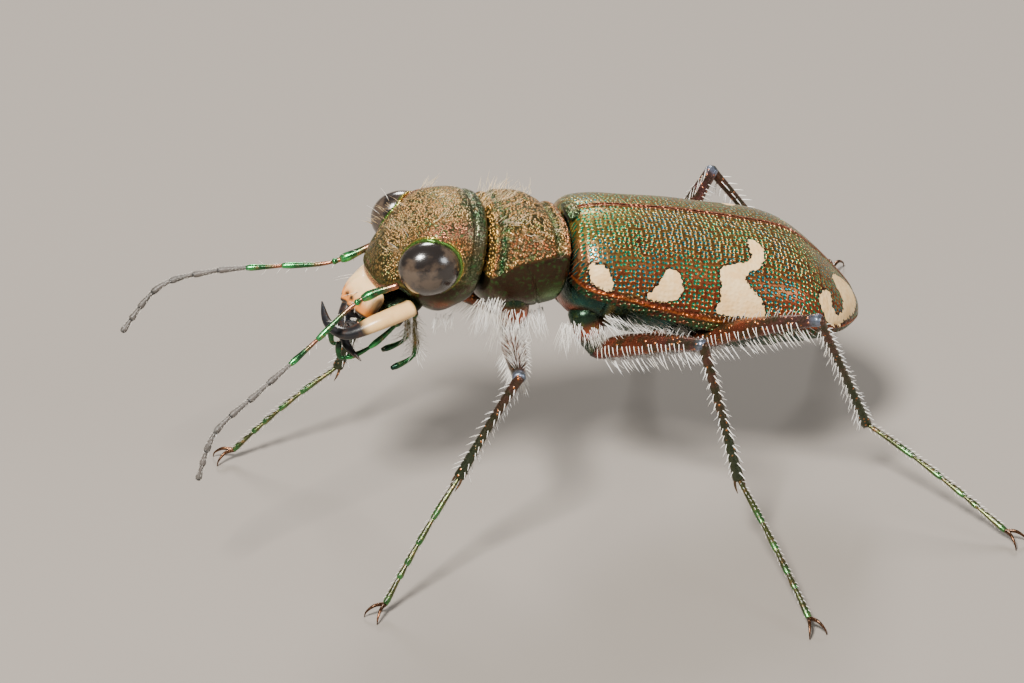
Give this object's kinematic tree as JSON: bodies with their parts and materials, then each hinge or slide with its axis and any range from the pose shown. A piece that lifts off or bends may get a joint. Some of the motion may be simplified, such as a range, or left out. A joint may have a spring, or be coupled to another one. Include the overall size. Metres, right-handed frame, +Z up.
{
  "type": "tiger beetle",
  "caption": "Life-size still model of a standing tiger beetle: large-eyed head with sickle jaws and antennae, coppery pronotum, domed spotted wing cases, long thin legs",
  "frame": {"origin": "on the floor, under the middle of the whole animal's box", "axes": "+Z up; the head points along -X and the beetle's left side is at -Y"},
  "size_m": [0.0234, 0.0194, 0.0096],
  "materials": {
    "wing_case": "coppery brown cuticle with rows of blue-green pits and cream marks",
    "head_bronze": "granular bronze cuticle with a gold and green sheen",
    "pronotum_bronze": "granular copper cuticle with a gold rim",
    "underside": "dark iridescent green cuticle with copper patches",
    "eye": "glossy dark brown facets",
    "labrum_ivory": "cream cuticle with dark edge",
    "mandible": "glossy black with a cream outer base",
    "green_limb": "metallic green and copper",
    "antenna_dull": "dull grey brown with fine pale hairs",
    "leg_copper": "dark reddish copper with rows of white hairs"
  },
  "bodies": {
    "root": {"head": "head_bronze", "eye_left": "eye", "eye_right": "eye", "labrum": "labrum_ivory", "mandible_left": "mandible", "mandible_right": "mandible", "palp_maxillary_left": "green_limb", "palp_maxillary_right": "green_limb", "palp_labial_left": "green_limb", "palp_labial_right": "green_limb", "antenna_left_base": "green_limb", "antenna_left_tip": "antenna_dull", "antenna_right_base": "green_limb", "antenna_right_tip": "antenna_dull", "prothorax": "pronotum_bronze", "thorax": "underside", "abdomen": "underside", "scutellum": "pronotum_bronze", "elytron_left": "wing_case", "elytron_right": "wing_case", "left_fore_coxa": "underside", "left_fore_femur": "leg_copper", "left_fore_tibia": "leg_copper", "left_fore_tarsus": "green_limb", "left_mid_coxa": "underside", "left_mid_femur": "leg_copper", "left_mid_tibia": "leg_copper", "left_mid_tarsus": "green_limb", "left_hind_coxa": "underside", "left_hind_femur": "leg_copper", "left_hind_tibia": "leg_copper", "left_hind_tarsus": "green_limb", "right_fore_coxa": "underside", "right_fore_femur": "leg_copper", "right_fore_tibia": "leg_copper", "right_fore_tarsus": "green_limb", "right_mid_coxa": "underside", "right_mid_femur": "leg_copper", "right_mid_tibia": "leg_copper", "right_mid_tarsus": "green_limb", "right_hind_coxa": "underside", "right_hind_femur": "leg_copper", "right_hind_tibia": "leg_copper", "right_hind_tarsus": "green_limb"}
  },
  "joints": []
}
